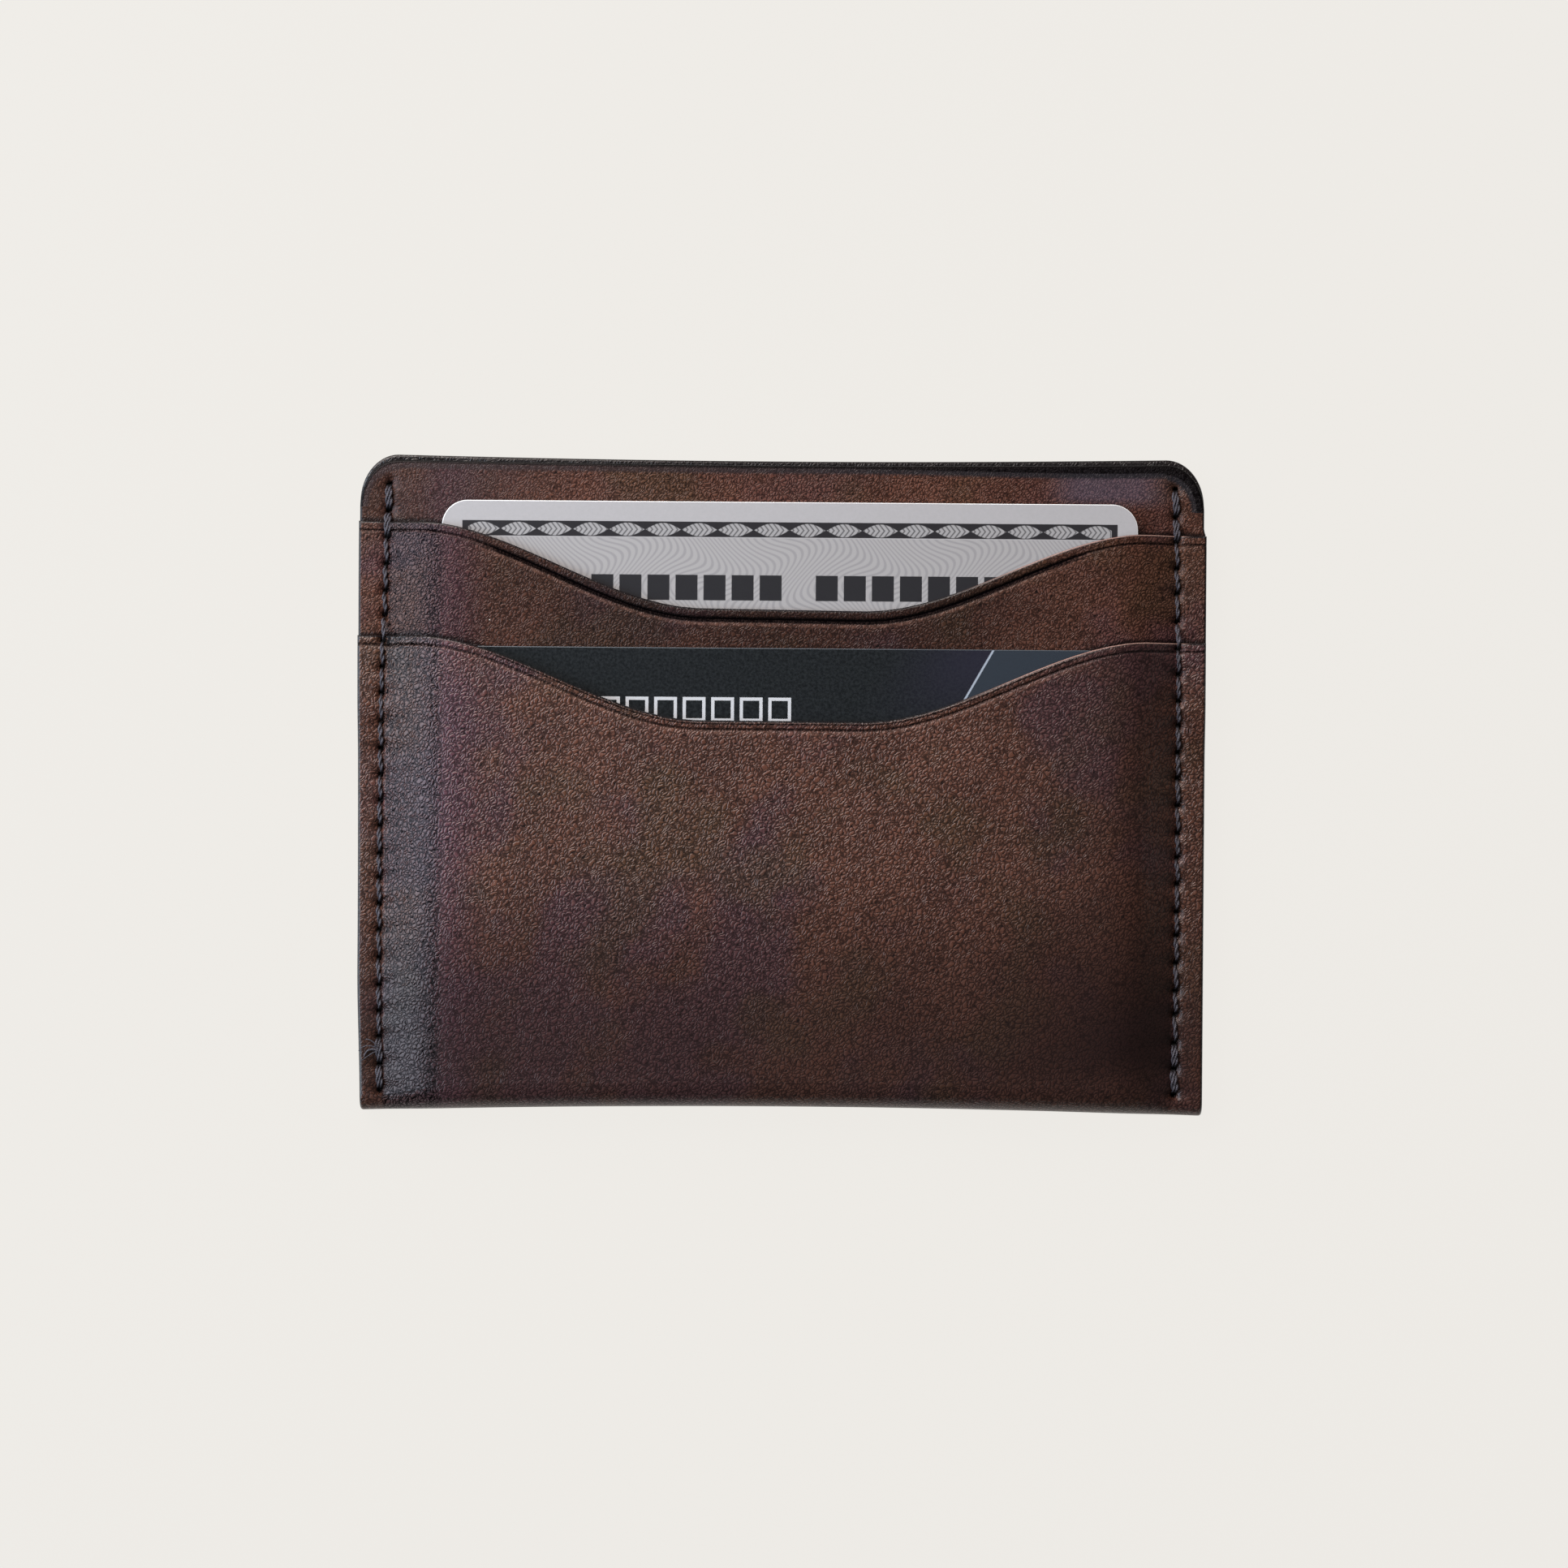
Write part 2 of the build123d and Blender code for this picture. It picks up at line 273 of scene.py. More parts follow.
def leather_slab(name, columns, rows):
    """A grid extruded to a closed slab. Also each vertex's column, row and whether it is outer."""
    bpy.ops.object.select_all(action="DESELECT")
    bpy.ops.mesh.primitive_grid_add(x_subdivisions=columns - 1, y_subdivisions=rows - 1, size=2)
    slab = bpy.context.object
    slab.name = name
    bpy.ops.object.mode_set(mode="EDIT")
    bpy.ops.mesh.select_all(action="SELECT")
    bpy.ops.mesh.extrude_region_move(TRANSFORM_OT_translate={"value": (0, 0, 1)})
    bpy.ops.object.mode_set(mode="OBJECT")
    places = np.zeros(len(slab.data.vertices) * 3)
    slab.data.vertices.foreach_get("co", places)
    places = places.reshape(-1, 3)
    column = np.rint((places[:, 0] + 1) / 2 * (columns - 1)).astype(int)
    row = np.rint((places[:, 1] + 1) / 2 * (rows - 1)).astype(int)
    return slab, column, row, places[:, 2] > 0.5


def settle(slab, x, h, z, **facts):
    """Puts a slab's vertices in place, and keeps facts about each one for its finish."""
    places = np.stack([x, h + FOLD_Y, z], axis=1) * MM
    slab.data.vertices.foreach_set("co", places.ravel())
    for name, values in facts.items():
        kept = slab.data.attributes.new(name, "FLOAT", "POINT")
        kept.data.foreach_set("value", np.asarray(values, np.float32))
    slab.data.update()
    bpy.context.view_layer.objects.active = slab
    slab.select_set(True)
    bpy.ops.object.shade_smooth_by_angle(angle=math.radians(50))


def margin_level(h):
    """Top of the pressed stack beside the seams, thicker where the upper pocket's bar is in it."""
    return STACK_LOW + BAR_STEP * ease(h, 43, 51)


def fold_size(x):
    """Height above the bottom line, and diameter, of the fold's outside."""
    lift = FOLD_LIFT * np.clip(1 - (x / HALF_WIDTH) ** 2, 0, 1)
    full = swell(x, np.full_like(x, 3.0), CARD_REACH)
    return lift, STACK_LOW + 2.4 * full


def front_level(x, h, start):
    """The lower pocket's outside: held at the seams, full over the cards, falling to the fold."""
    up = np.maximum(h - start, 0)
    full = 6.15 + 1.1 * ease(up, 2, 26) + 0.12 * ease(up, 0, 4) + 0.006 * up
    margin = margin_level(h)
    return margin + (full - margin) * swell(x, h, CARD_REACH)


def right_half(h):
    """The pockets stand a little further out on the right than the tall panels behind them."""
    return HALF_WIDTH + 0.1 * ease(h, 20, 70) - 0.2 * ease(h, 71.6, 72.4)


def left_half(h):
    """The left side comes in a little at the fold."""
    return HALF_WIDTH - 0.4 * (1 - ease(h, 0, 18)) + 0.25 * ease(h, 20, 70)


back_run = WALLET_HEIGHT - FOLD_MIDDLE
back_rows = corner_rows() + list(np.arange(CORNER_RISE, back_run, COARSE_ROW))
fold_rows = list(np.linspace(0, math.pi, 15))
front_run = LOWER_MOUTH - 3.4
front_rows = list(np.arange(front_run, FROM_MOUTH[-1] + 0.3, -FINE_ROW)) + FROM_MOUTH[::-1]
fold_start = len(back_rows)
front_start = fold_start + len(fold_rows)
columns = column_places()

shell, column, row, outer = leather_slab(
    "outer_shell_leather", len(columns), front_start + len(front_rows)
)
nominal = columns[column]
is_back = row < fold_start
is_front = row >= front_start


def by_part(back, front, fold):
    """One value from each of the strip's three stretches."""
    return np.where(is_back, back, np.where(is_front, front, fold))


lift, size = fold_size(nominal)
fold_middle = lift + size / 2
top = WALLET_HEIGHT - TOP_SAG * (1 - (nominal / HALF_WIDTH) ** 2)
mouth = mouth_height(nominal, LOWER_MOUTH, LOWER_TILT)
steep = np.sqrt(1 + mouth_steepness(nominal) ** 2)


def from_mouth(gap, steep, spare, run):
    """How far below its mouth a row lies: evenly all along the mouth's curve, then spread out."""
    slanted = gap * (1 + (steep - 1) * (1 - ease(gap, 2, 12)))
    return slanted + spare * ease(gap, 2, run)


# Down the back, spaced by distance from the top edge
back_gap = np.array(back_rows)[by_part(row, 0, 0)]
back_h = top - back_gap * (top - fold_middle) / back_run
# Round the fold, and up the front
angle = np.array(fold_rows)[by_part(0, 0, row - fold_start)]
fold_h = fold_middle - size / 2 * np.sin(angle)
front_gap = np.array(front_rows)[by_part(0, row - front_start, 0)]
front_h = mouth - from_mouth(front_gap, steep, mouth - fold_middle - front_run, front_run)

h = by_part(back_h, front_h, fold_h)
drawn_in = corner_in(by_part(h, 0, 0), top)
right_edge = by_part(right_half(h), HALF_WIDTH, HALF_WIDTH)
x = fit_width(nominal, left_half(h) - drawn_in, right_edge - drawn_in)
base = by_part(0.0, front_level(x, h, fold_middle), size / 2 - size / 2 * np.cos(angle))
out_h = by_part(0, 0, -np.sin(angle))
out_z = by_part(-1.0, 1.0, -np.cos(angle))

side_gap = np.where(x < 0, left_half(h), HALF_WIDTH) - np.abs(x)
back_rim, back_top = outline_gap(x, h, top, left_half(h), right_half(h))
mouth_gap = (mouth_height(x, LOWER_MOUTH, LOWER_TILT) - h) / steep
rim = by_part(back_rim, np.minimum(side_gap, mouth_gap), side_gap)
edge = by_part(back_top, mouth_gap, 50.0)

# How deep the thread and its holes pull the leather down, on a panel's front and on the back
FRONT_BED, FRONT_PULL, BACK_BED, BACK_PULL = 0.16, 0.75, 0.42, 0.25
crease = 0.15 * np.exp(-((edge - LOWER_CREASE) / 0.13) ** 2)
uneven = 0.10 * ripple(x, h, 14, 3.3) + 0.035 * ripple(x, h, 4, 8.1)
front_pull = stitch_pull(x, h, FRONT_BED, FRONT_PULL)
back_pull = stitch_pull(x, h, BACK_BED, BACK_PULL)
outside = by_part(-back_pull, uneven * ease(rim, 0, 4) - crease - front_pull, 0.0)
outside = outside - round_over(rim, 0.4)
inside = -SHELL_THICKNESS + round_over(rim, 0.25)
step_out = np.where(outer, outside, inside)
settle(
    shell, x, h + out_h * step_out, base + out_z * step_out,
    edge_gap=np.where(outer, edge, 0.3), rim_gap=np.where(outer, rim, 0.0),
    hole=hole_shade(x, h), rub_gap=np.full_like(x, 9.0),
)


class Value:
    """The output of a shader node, so that maths on it reads as a plain expression."""

    def __init__(self, finish, socket):
        self.finish = finish
        self.socket = socket

    def maths(self, operation, *terms):
        """A Math node on these terms."""
        return self.finish.node("ShaderNodeMath", {"operation": operation}, dict(enumerate(terms)))

    def __add__(self, other):
        return self.maths("ADD", self, other)

    def __sub__(self, other):
        return self.maths("SUBTRACT", self, other)

    def __rsub__(self, other):
        return self.maths("SUBTRACT", other, self)

    def __mul__(self, other):
        return self.maths("MULTIPLY", self, other)

    def __abs__(self):
        return self.maths("ABSOLUTE", self)

    __radd__ = __add__
    __rmul__ = __mul__

    def ease(self, low, high):
        """0 below low, 1 above high and smooth between. It falls where low is the higher."""
        flip = low > high
        terms = {0: self, 1: min(low, high), 2: max(low, high), 3: float(flip), 4: float(not flip)}
        return self.finish.node("ShaderNodeMapRange", {"interpolation_type": "SMOOTHSTEP"}, terms)


class Finish:
    """A material under construction."""

    def __init__(self, name, **constants):
        self.material = bpy.data.materials.new(name)
        self.material.use_nodes = True
        self.tree = self.material.node_tree
        self.shader = self.tree.nodes["Principled BSDF"]
        for socket, value in constants.items():
            self.shader.inputs[socket.replace("_", " ")].default_value = value

    def node(self, kind, settings=None, terms=None, output=0):
        """Adds a node, sets it up, feeds its sockets values or links, and gives one output."""
        made = self.tree.nodes.new(kind)
        for key, value in (settings or {}).items():
            setattr(made, key, value)
        for key, value in (terms or {}).items():
            self.feed(made.inputs[key], value)
        return Value(self, made.outputs[output])

    def feed(self, socket, value):
        """Links a value to a socket, or sets the socket to a plain number or vector."""
        if isinstance(value, Value):
            self.tree.links.new(value.socket, socket)
        else:
            socket.default_value = value

    def paint(self, **sockets):
        """Feeds the shader's own sockets."""
        for name, value in sockets.items():
            self.feed(self.shader.inputs[name.replace("_", " ")], value)

    def place(self, shift=(0, 0, 0)):
        """A point's place on the object in millimetres, after a shift in metres."""
        where = self.node("ShaderNodeTexCoord", output="Object")
        return self.scaled(self.moved(where, shift), 1 / MM)

    def moved(self, place, shift):
        """A place shifted by a vector."""
        return self.node("ShaderNodeVectorMath", {"operation": "ADD"}, {0: place, 1: shift})

    def scaled(self, place, scale):
        """A place, or a vector, times a number."""
        return self.node("ShaderNodeVectorMath", {"operation": "SCALE"}, {0: place, "Scale": scale})

    def split(self, place):
        """The x, y and z of a place."""
        apart = self.node("ShaderNodeSeparateXYZ", {}, {0: place})
        return [Value(self, socket) for socket in apart.socket.node.outputs]

    def stretched(self, place, scale):
        """A place scaled by a different amount along each axis."""
        return self.node("ShaderNodeMapping", {}, {"Vector": place, "Scale": scale})

    def mottle(self, place, scale, detail=2.0, roughness=0.5, output=0):
        """Cloudy noise, about one cloud to each 1/scale."""
        terms = {"Vector": place, "Scale": scale, "Detail": detail, "Roughness": roughness}
        return self.node("ShaderNodeTexNoise", {}, terms, output)

    def cells(self, place, scale, feature="DISTANCE_TO_EDGE"):
        """A pattern of irregular cells, 1/scale across."""
        terms = {"Vector": place, "Scale": scale}
        return self.node("ShaderNodeTexVoronoi", {"feature": feature}, terms)

    def wrinkles(self, place, scale):
        """Distance to the edge in a pattern of slanted cells, nearly twice as long as wide."""
        terms = {"Vector": place, "Rotation": (0, 0, -0.75), "Scale": (1, 1.8, 1)}
        slanted = self.node("ShaderNodeMapping", {"vector_type": "TEXTURE"}, terms)
        return self.cells(slanted, scale)

    def fact(self, name):
        """A number kept on each vertex of the piece."""
        return self.node("ShaderNodeAttribute", {"attribute_name": name}, output="Fac")

    def mix(self, below, above, share, how="MIX"):
        """One colour laid over another."""
        settings = {"data_type": "RGBA", "blend_type": how}
        return self.node("ShaderNodeMix", settings, {0: share, 6: below, 7: above}, 2)

    def bump(self, height, depth):
        """A surface relief this many millimetres deep, where height runs from 0 to 1."""
        terms = {"Strength": 1.0, "Distance": depth * MM, "Height": height}
        return self.node("ShaderNodeBump", {}, terms)


def leather(
    name, seed, grain, relief, shine,
    band=0.0, dip_lines=(), dip_highlight=9.0, low_right_shade_amount=0.0, dip_darkening=0.0,
):
    """Pull-up leather: mottled browns, a slanted pebble grain, creases and blackened edges.

    The band is the width burnished along a tall panel's top, which painted shade makes wider and
    darker to the right. Lines in a pocket's dip are given by their distance from the mouth and half
    their width, and dip_highlight is where a painted highlight runs below them.
    """
    finish = Finish(name, Specular_IOR_Level=shine, Coat_Roughness=0.18)
    place = finish.place((seed, seed * 0.7, 0))
    x, y, _ = finish.split(finish.place())
    across = abs(x)
    edge, rim = finish.fact("edge_gap"), finish.fact("rim_gap")
    hole, rub = finish.fact("hole"), finish.fact("rub_gap")

    # Colour: a warm brown with soft plum and olive clouds, redder outside the seams
    clouds = finish.mottle(place, 0.11).ease(0.35, 0.65)
    colour = finish.mix(shade(88, 54, 42), shade(101, 63, 49), clouds)
    plum = finish.mottle(finish.place((seed + 0.05, 0.02, 0)), 0.07, 2.5).ease(0.47, 0.62)
    olive = finish.mottle(finish.place((seed, 0.09, 0)), 0.08, 2.5).ease(0.5, 0.66)
    colour = finish.mix(colour, shade(84, 54, 59), plum * (0.35 if band else 0.85))
    colour = finish.mix(colour, shade(80, 58, 38), olive * 0.6)
    # A plum sheen painted beside the highlight band on the left
    painted_plum_sheen = x.ease(-35, -41) * x.ease(-46, -42)
    colour = finish.mix(colour, shade(88, 56, 68), painted_plum_sheen * 0.7)
    russet = across.ease(48.2, 49.4) * finish.mottle(place, 0.16).ease(0.35, 0.6)
    colour = finish.mix(colour, shade(94, 61, 47), russet * 0.6)

    # Grain: slanted wrinkles parted by valleys, with painted shade in the valleys and on the side
    # of each away from the upper left
    stir = finish.mottle(place, 0.9, 2, 0.5, output=1)
    bent = finish.moved(place, finish.scaled(stir, 1.1))
    gap = finish.wrinkles(bent, grain)
    lee = finish.wrinkles(finish.moved(bent, (-0.08, 0.08, 0)), grain)
    pebble = gap.ease(0.0, 0.4)
    fine = finish.mottle(place, 3.6, 3, 0.6)
    height = pebble * 0.85 + fine * 0.2
    slope = pebble - lee.ease(0.0, 0.4)
    painted_grain_shade = gap.ease(0.2, 0.02) * 0.52 + slope.ease(-0.1, -0.7) * 0.48
    colour = finish.mix(colour, shade(22, 13, 12), painted_grain_shade)
    # A painted highlight on the side of each wrinkle towards the upper left
    colour = finish.mix(colour, shade(134, 96, 84), slope.ease(0.1, 0.8) * 0.3)

    # Painted shade, darker towards the fold and the right, a grey cast painted where the highlight
    # band on the left falls, and darker inside the thumb dip
    low = y.ease(-8, -34) * 0.6 * (1 - 0.5 * y.ease(-37, -40))
    right = x.ease(18, 46) * x.ease(48.6, 47.8) * (1 - 0.6 * y.ease(-32, -38)) * 0.42
    wear_and_shade = (low + right) * low_right_shade_amount
    left_highlight_band = x.ease(-41.2, -42.6) * x.ease(-49.2, -48.4) * (0.0 if band else 1.0)
    # A grey cast painted where the highlight falls on the left
    colour = finish.mix(colour, shade(46, 41, 44), left_highlight_band * 0.45)
    colour = finish.mix(colour, shade(36, 19, 17), wear_and_shade)
    # Darker inside the thumb dip, and along the mouth's edge there
    dip = across.ease(44, 16) + x.ease(-22, -36) * x.ease(-44, -40) * 0.4
    dip = dip + edge.ease(1.8, 1.2) * across.ease(46, 38) * 0.35
    colour = finish.mix(colour, shade(28, 17, 15), dip * dip_darkening)

    specks = finish.cells(place, 0.1, "F1").ease(0.012, 0.006)
    colour = finish.mix(colour, shade(226, 218, 208), specks)

    # Edges: the creased lines in painted shade, the burnished band, the blackened, polished rim,
    # and painted shadows and a painted highlight along rims
    in_dip = across.ease(39, 34)
    line = abs(edge - LOWER_CREASE).ease(0.24, 0.08) * (0.0 if band else 0.6)
    for middle, half in dip_lines:
        line = line + abs(edge - middle).ease(half + 0.12, half - 0.06) * in_dip
    if band:
        colour = finish.mix(colour, shade(48, 32, 27), x.ease(-22, -40) * 0.5)
        # A bluish plum sheen painted near the top right
        cloud = abs(x - 40).ease(9, 3) * abs(y - 37).ease(3.2, 1)
        colour = finish.mix(colour, shade(90, 80, 94), cloud * 0.6)
        # The band is burnished, and painted shade makes it wider and darker to the right, where the
        # top edge curves back
        edge = edge - 0.6 * x.ease(5, 42)
        burnish_and_shade = finish.mix(shade(58, 44, 43), shade(37, 37, 41), x.ease(-30, 25))
        colour = finish.mix(colour, burnish_and_shade, edge.ease(band + 0.3, band - 0.2) * 0.9)
        # Painted shade in a line along the band's inner edge, and a painted shadow at the top edge,
        # which stands below the back panel's
        line = line + abs(edge - band).ease(0.3, 0.04) * y.ease(38.6, 39.4) * 0.6
        line = line + edge.ease(0.45, 0.3) * 0.8
    black = rim.ease(0.34, 0.16)
    colour = finish.mix(colour, shade(22, 15, 17), black)
    # Painted shadow along the line where the next panel's mouth edge lies on this one
    colour = finish.mix(colour, shade(18, 10, 10), rub.ease(0.75, 0.1) * 0.85)
    # Painted shade in the awl's holes, along the creased lines and in the grain's valleys, most in
    # the highlight band on the left; Metallic follows it and keeps highlights off there
    bend_valley = gap.ease(0.2, 0.03) * 0.5 + slope.ease(-0.15, -0.6) * 0.45
    valley = gap.ease(0.12, 0.0) * 0.35 + bend_valley * left_highlight_band
    deep = hole.ease(0.25, 0.7) + line * 0.85 + valley
    colour = finish.mix(colour, shade(10, 6, 7), deep)
    # A painted highlight along a line below the creases in the dip
    patchy = 0.3 + finish.mottle(place, 1.2).ease(0.4, 0.6)
    painted_crease_highlight = abs(edge - dip_highlight).ease(0.3, 0.05) * in_dip * patchy
    colour = finish.mix(colour, shade(150, 108, 92), painted_crease_highlight * 0.2)
    glint = rim.ease(0.2, 0.1) * rim.ease(0.02, 0.06) * x.ease(20, 32) * across.ease(50.5, 48.5)
    colour = finish.mix(colour, shade(186, 148, 136), glint * (0.0 if band else 0.8))

    rough = 0.25 + 0.06 * finish.mottle(place, 0.2, 2) + 0.1 * (1 - pebble) + 0.3 * line
    finish.paint(
        Base_Color=colour, Roughness=rough, Metallic=deep * 0.9,
        Coat_Weight=black * (0.1 if band else 0.3),
        Normal=finish.bump(height * (1 - 0.8 * wear_and_shade), relief),
    )
    return finish.material


shell_finish = leather(
    "shell_leather", seed=0.0, grain=2.5, relief=0.05, shine=0.42,
    dip_lines=[(0.42, 0.06)], dip_highlight=1.55, low_right_shade_amount=1.0,
)
shell.data.materials.append(shell_finish)
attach(shell, "wallet")
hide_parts("outer_shell")

# ---- Divider ------------------------------------------------------------------------------
# The tall panel between the centre pocket and the upper one, of thinner leather. Its top edge
# stands just below the back panel's and is burnished to a dark band round both corners, which
# painted shade makes wider and darker to the right.
DIVIDER_TOP = WALLET_HEIGHT - 0.7
DIVIDER_LEVEL = 2.3
DIVIDER_THICKNESS = 1.0
DIVIDER_BOTTOM = 3.2
DIVIDER_INSET = 0.05  # how far its sides stand in from the shell's
DIVIDER_REACH = 24
UPPER_MOUTH, UPPER_TILT = 72.1, -0.5
CARD_LEAN = 0.025  # the stepped layers under a card lean it by this slope
POCKET_FLOOR = 20.8
SEEN_DOWN_TO = 20  # this far below its top edge the divider is hidden

divider_run = DIVIDER_TOP - DIVIDER_BOTTOM
divider_rows = corner_rows() + list(np.arange(CORNER_RISE, SEEN_DOWN_TO, 0.4))
divider_rows += list(np.linspace(SEEN_DOWN_TO, divider_run, 24))
divider, column, row, outer = leather_slab("divider_leather", len(columns), len(divider_rows))
nominal = columns[column]
top = DIVIDER_TOP - TOP_SAG * (1 - (nominal / HALF_WIDTH) ** 2)
h = top - np.array(divider_rows[::-1])[row] * (top - DIVIDER_BOTTOM) / divider_run
left, right = left_half(h) - DIVIDER_INSET, right_half(h) - DIVIDER_INSET
x = fit_width(nominal, left - corner_in(h, top), right - corner_in(h, top))
rim, edge = outline_gap(x, h, top, left, right)
level = DIVIDER_LEVEL + CARD_LEAN * np.maximum(h - POCKET_FLOOR, 0) * swell(x, h, DIVIDER_REACH)
shown = ease(h, 60, 64)
uneven = 0.05 * ripple(x, h, 9, 5.2) * ease(rim, 0, 3)
outside = shown * (uneven - stitch_pull(x, h, FRONT_BED, FRONT_PULL)) - round_over(rim, 0.3)
inside = -DIVIDER_THICKNESS + round_over(rim, 0.25)
settle(
    divider, x, h, level + np.where(outer, outside, inside),
    edge_gap=np.where(outer, edge, 0.3), rim_gap=np.where(outer, rim, 0.0),
    hole=hole_shade(x, h), rub_gap=np.abs(h - mouth_height(x, UPPER_MOUTH, UPPER_TILT)),
)
divider_finish = leather(
    "divider_leather", seed=0.31, grain=3.1, relief=0.03, shine=0.22, band=0.95
)
divider.data.materials.append(divider_finish)
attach(divider, "wallet")
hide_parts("divider")

# ---- Upper pocket -------------------------------------------------------------------------
# A T-shaped panel. Its bar is caught in both seams, and its narrower stem is stitched to the
# divider below the silver card. The mouth has the same dip and crease as the shell's.
POCKET_LEVEL = 3.2
POCKET_THICKNESS = 0.9
POCKET_BOTTOM = 16.8
CARD_ROOM = 1.06  # how far the card lifts it
BAR_BOTTOM = 48.0
STEM_HALF = 46.2
FLOOR_SEAM_RUN = 5  # height of the strip that holds its bottom seam
UPPER_CREASE = 1.15

pocket_run = UPPER_MOUTH - POCKET_BOTTOM
stem_run = pocket_run - FLOOR_SEAM_RUN
pocket_rows = list(np.linspace(pocket_run, stem_run, 14))
pocket_rows += list(np.linspace(stem_run - 2, 26.5, 12))
pocket_rows += list(np.arange(25.8, FROM_MOUTH[-1] + 0.3, -FINE_ROW)) + FROM_MOUTH[::-1]
pocket, column, row, outer = leather_slab("upper_pocket_leather", len(columns), len(pocket_rows))
nominal = columns[column]
gap = np.array(pocket_rows)[row]
mouth = mouth_height(nominal, UPPER_MOUTH, UPPER_TILT)
steep = np.sqrt(1 + mouth_steepness(nominal) ** 2)
h = mouth - from_mouth(gap, steep, mouth - POCKET_BOTTOM - pocket_run, stem_run)
bar = ease(h, BAR_BOTTOM - 0.4, BAR_BOTTOM)
half_left = STEM_HALF + (left_half(h) - STEM_HALF) * bar
half_right = STEM_HALF + (HALF_WIDTH + 0.1 - STEM_HALF) * bar
x = fit_width(nominal, half_left, half_right)
side_gap = np.where(x < 0, half_left, half_right) - np.abs(x)
edge = (mouth_height(x, UPPER_MOUTH, UPPER_TILT) - h) / steep
rim = np.minimum(side_gap, edge)
full = POCKET_LEVEL + CARD_ROOM * ease(h, POCKET_FLOOR - 1.4, POCKET_FLOOR - 0.4)
full = full + CARD_LEAN * np.maximum(h - POCKET_FLOOR, 0)
level = POCKET_LEVEL + (full - POCKET_LEVEL) * swell(x, h, CARD_REACH)
# The creased line lies lower, and is wider and deeper, in the dip
dip = ease(-np.abs(x), -38, -30)
crease = np.exp(-((edge - UPPER_CREASE - 0.1 * dip) / (0.13 + 0.16 * dip)) ** 2)
crease = crease * (0.15 + 0.1 * dip)
shown = ease(h, 44, 48)
uneven = 0.05 * ripple(x, h, 12, 1.7) + 0.03 * ripple(x, h, 4, 6.4)
pull = stitch_pull(x, h, FRONT_BED, FRONT_PULL)
outside = shown * (uneven * ease(rim, 0, 3) - crease - pull) - round_over(rim, 0.32)
inside = -POCKET_THICKNESS + round_over(rim, 0.2)
settle(
    pocket, x, h, level + np.where(outer, outside, inside),
    edge_gap=np.where(outer, edge, 0.3), rim_gap=np.where(outer, rim, 0.0),
    hole=hole_shade(x, h), rub_gap=np.abs(h - mouth_height(x, LOWER_MOUTH, LOWER_TILT)),
)
pocket_finish = leather(
    "pocket_leather", seed=0.57, grain=2.9, relief=0.035, shine=0.24,
    dip_lines=[(1.4, 0.24)], dip_highlight=1.95, dip_darkening=0.55,
)
pocket.data.materials.append(pocket_finish)
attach(pocket, "wallet")
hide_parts("upper_pocket")

# ---- Side seams ---------------------------------------------------------------------------
# Waxed charcoal thread of two twisted strands, saddle stitched through every layer. Each
# stitch dives into the awl's holes at both ends, and the first and last two are doubled.
STRAND, TWIST = 0.17, 0.15  # a strand's radius, and how far it lies from the thread's middle
STITCH_TURN = math.radians(520)
PROUD, DIVE = 0.14, 1.05  # how high a stitch stands, and how deep its ends go down the holes
BACK_LEVEL = 0.46  # the thread is sunk into the back panel
DOUBLING = 0.18


def one_stitch():
    """A length of two-strand thread along Y, as long as the pitch, bent down at both ends."""
    bpy.ops.object.select_all(action="DESELECT")
    pieces = []
    for side in (-1, 1):
        bpy.ops.mesh.primitive_circle_add(
            vertices=8, radius=STRAND, fill_type="NGON",
            location=(side * TWIST, -0.5, 0), rotation=(math.pi / 2, 0, 0),
        )
        pieces.append(bpy.context.object)
    for piece in pieces:
        piece.select_set(True)
    bpy.ops.object.join()
    bpy.ops.object.transform_apply(location=True, rotation=True, scale=True)
    thread = bpy.context.object
    screw = thread.modifiers.new("twist", "SCREW")
    screw.axis = "Y"
    screw.angle = STITCH_TURN
    screw.screw_offset = 1.0
    screw.steps = screw.render_steps = 22
    bpy.ops.object.modifier_apply(modifier="twist")
    bpy.ops.object.mode_set(mode="EDIT")
    bpy.ops.mesh.select_all(action="SELECT")
    bpy.ops.mesh.fill_holes(sides=8)
    bpy.ops.object.mode_set(mode="OBJECT")
    return thread


pattern = one_stitch()


def surface_level(x, h):
    """The front leather surface at a point of a side seam."""
    if h < LOWER_MOUTH:
        return float(margin_level(np.array([h]))[0])
    if h < UPPER_MOUTH + UPPER_TILT * x / MOUTH_REACH:
        return POCKET_LEVEL
    return DIVIDER_LEVEL


def joined(name, smooth):
    """The selected pieces as one, with their faces outwards and smooth up to this angle."""
    bpy.ops.object.join()
    whole = bpy.context.object
    whole.name = name
    bpy.ops.object.mode_set(mode="EDIT")
    bpy.ops.mesh.select_all(action="SELECT")
    bpy.ops.mesh.normals_make_consistent(inside=False)
    bpy.ops.object.mode_set(mode="OBJECT")
    bpy.ops.object.shade_smooth_by_angle(angle=math.radians(smooth))
    return whole


